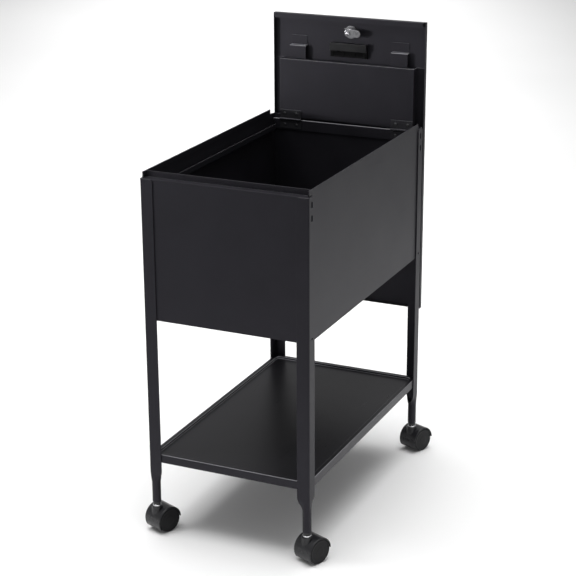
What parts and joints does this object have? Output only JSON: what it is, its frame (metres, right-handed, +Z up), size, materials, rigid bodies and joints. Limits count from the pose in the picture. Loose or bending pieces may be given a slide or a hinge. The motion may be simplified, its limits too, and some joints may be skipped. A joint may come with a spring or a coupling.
{
  "type": "rolling file cart",
  "caption": "Open-top steel file tub on four angle legs with twin-wheel casters, a lower shelf, and a locking lid that slides down behind the tub.",
  "frame": {"origin": "on the floor, in the middle of the whole object's outline seen from above", "axes": "+Z up; -Y the front, the short side with the ledge; +Y the rear, where the lid is stored; +X the cart's right side"},
  "size_m": [0.386, 0.6308, 0.9355],
  "materials": {
    "cart_paint": "fine-textured black powder coat",
    "shelf_paint": "satin black powder coat",
    "hinge_paint": "satin black",
    "hinge_steel": "blackened zinc",
    "lock_chrome": "bright plated",
    "caster_chrome": "bright plated",
    "axle_steel": "turned",
    "pull_plastic": "black moulded, fine grain",
    "socket_plastic": "black moulded",
    "caster_plastic": "black moulded, satin gloss",
    "wheel_plastic": "black nylon, worn on the tread"
  },
  "bodies": {
    "cart_frame": {"caster_socket_front_left": "socket_plastic", "caster_socket_front_right": "socket_plastic", "caster_socket_rear_left": "socket_plastic", "caster_socket_rear_right": "socket_plastic", "folder_rail_left": "cart_paint", "folder_rail_right": "cart_paint", "front_panel": "cart_paint", "hinge_leaf_fixed_left": "hinge_paint", "hinge_leaf_fixed_right": "hinge_paint", "hinge_pin_left": "hinge_steel", "hinge_pin_right": "hinge_steel", "hinge_screws_fixed": "hinge_steel", "leg_front_left": "cart_paint", "leg_front_right": "cart_paint", "leg_rear_left": "cart_paint", "leg_rear_right": "cart_paint", "rear_panel": "cart_paint", "shelf": "shelf_paint", "side_wall_left": "cart_paint", "side_wall_right": "cart_paint", "tub_floor": "cart_paint"},
    "lid_carrier": {"hinge_leaf_moving_left": "hinge_paint", "hinge_leaf_moving_right": "hinge_paint", "hinge_screws_moving": "hinge_steel", "lid_carrier": "cart_paint"},
    "lid": {"lid_panel": "cart_paint", "lid_stop_left": "cart_paint", "lid_stop_right": "cart_paint", "finger_pull": "pull_plastic", "lock_barrel": "lock_chrome", "lock_washer": "lock_chrome", "lock_nut": "lock_chrome"},
    "lock": {"lock_plug": "lock_chrome", "lock_cam": "lock_chrome", "lock_cam_screw": "lock_chrome"},
    "caster_front_left": {"caster_hood_front_left": "caster_plastic", "caster_stem_front_left": "caster_chrome", "caster_axle_front_left": "axle_steel"},
    "wheel_front_left_inner": {"wheel_front_left_inner": "wheel_plastic"},
    "wheel_front_left_outer": {"wheel_front_left_outer": "wheel_plastic"},
    "caster_front_right": {"caster_hood_front_right": "caster_plastic", "caster_stem_front_right": "caster_chrome", "caster_axle_front_right": "axle_steel"},
    "wheel_front_right_inner": {"wheel_front_right_inner": "wheel_plastic"},
    "wheel_front_right_outer": {"wheel_front_right_outer": "wheel_plastic"},
    "caster_rear_left": {"caster_hood_rear_left": "caster_plastic", "caster_stem_rear_left": "caster_chrome", "caster_axle_rear_left": "axle_steel"},
    "wheel_rear_left_inner": {"wheel_rear_left_inner": "wheel_plastic"},
    "wheel_rear_left_outer": {"wheel_rear_left_outer": "wheel_plastic"},
    "caster_rear_right": {"caster_hood_rear_right": "caster_plastic", "caster_stem_rear_right": "caster_chrome", "caster_axle_rear_right": "axle_steel"},
    "wheel_rear_right_inner": {"wheel_rear_right_inner": "wheel_plastic"},
    "wheel_rear_right_outer": {"wheel_rear_right_outer": "wheel_plastic"}
  },
  "joints": [
    {"name": "lid_hinge", "type": "hinge", "parent": "cart_frame", "child": "lid_carrier", "pos_m": [-0.00534, 0.2676, 0.713], "axis": [1, 0, 0], "range_deg": [0, 90]},
    {"name": "lid_slide", "type": "slide", "parent": "lid_carrier", "child": "lid", "axis": [0, 0, 1], "range_m": [0, 0.348]},
    {"name": "lock_turn", "type": "hinge", "parent": "lid", "child": "lock", "pos_m": [-0.00234, 0.2776, 0.904], "axis": [0, -1, 0], "range_deg": [0, 90]},
    {"name": "caster_swivel_front_left", "type": "hinge", "parent": "cart_frame", "child": "caster_front_left", "pos_m": [-0.16674, -0.2938, 0.08], "axis": [0, 0, 1], "continuous": true},
    {"name": "wheel_spin_front_left_inner", "type": "hinge", "parent": "caster_front_left", "child": "wheel_front_left_inner", "pos_m": [-0.16138, -0.28087, 0.025], "axis": [0.9239, -0.3827, 0], "continuous": true},
    {"name": "wheel_spin_front_left_outer", "type": "hinge", "parent": "caster_front_left", "child": "wheel_front_left_outer", "pos_m": [-0.16138, -0.28087, 0.025], "axis": [0.9239, -0.3827, 0], "continuous": true},
    {"name": "caster_swivel_front_right", "type": "hinge", "parent": "cart_frame", "child": "caster_front_right", "pos_m": [0.15606, -0.2938, 0.08], "axis": [0, 0, 1], "continuous": true},
    {"name": "wheel_spin_front_right_inner", "type": "hinge", "parent": "caster_front_right", "child": "wheel_front_right_inner", "pos_m": [0.16142, -0.28087, 0.025], "axis": [0.9239, -0.3827, 0], "continuous": true},
    {"name": "wheel_spin_front_right_outer", "type": "hinge", "parent": "caster_front_right", "child": "wheel_front_right_outer", "pos_m": [0.16142, -0.28087, 0.025], "axis": [0.9239, -0.3827, 0], "continuous": true},
    {"name": "caster_swivel_rear_left", "type": "hinge", "parent": "cart_frame", "child": "caster_rear_left", "pos_m": [-0.16674, 0.268, 0.08], "axis": [0, 0, 1], "continuous": true},
    {"name": "wheel_spin_rear_left_inner", "type": "hinge", "parent": "caster_rear_left", "child": "wheel_rear_left_inner", "pos_m": [-0.16138, 0.28093, 0.025], "axis": [0.9239, -0.3827, 0], "continuous": true},
    {"name": "wheel_spin_rear_left_outer", "type": "hinge", "parent": "caster_rear_left", "child": "wheel_rear_left_outer", "pos_m": [-0.16138, 0.28093, 0.025], "axis": [0.9239, -0.3827, 0], "continuous": true},
    {"name": "caster_swivel_rear_right", "type": "hinge", "parent": "cart_frame", "child": "caster_rear_right", "pos_m": [0.15606, 0.268, 0.08], "axis": [0, 0, 1], "continuous": true},
    {"name": "wheel_spin_rear_right_inner", "type": "hinge", "parent": "caster_rear_right", "child": "wheel_rear_right_inner", "pos_m": [0.16142, 0.28093, 0.025], "axis": [0.9239, -0.3827, 0], "continuous": true},
    {"name": "wheel_spin_rear_right_outer", "type": "hinge", "parent": "caster_rear_right", "child": "wheel_rear_right_outer", "pos_m": [0.16142, 0.28093, 0.025], "axis": [0.9239, -0.3827, 0], "continuous": true}
  ]
}
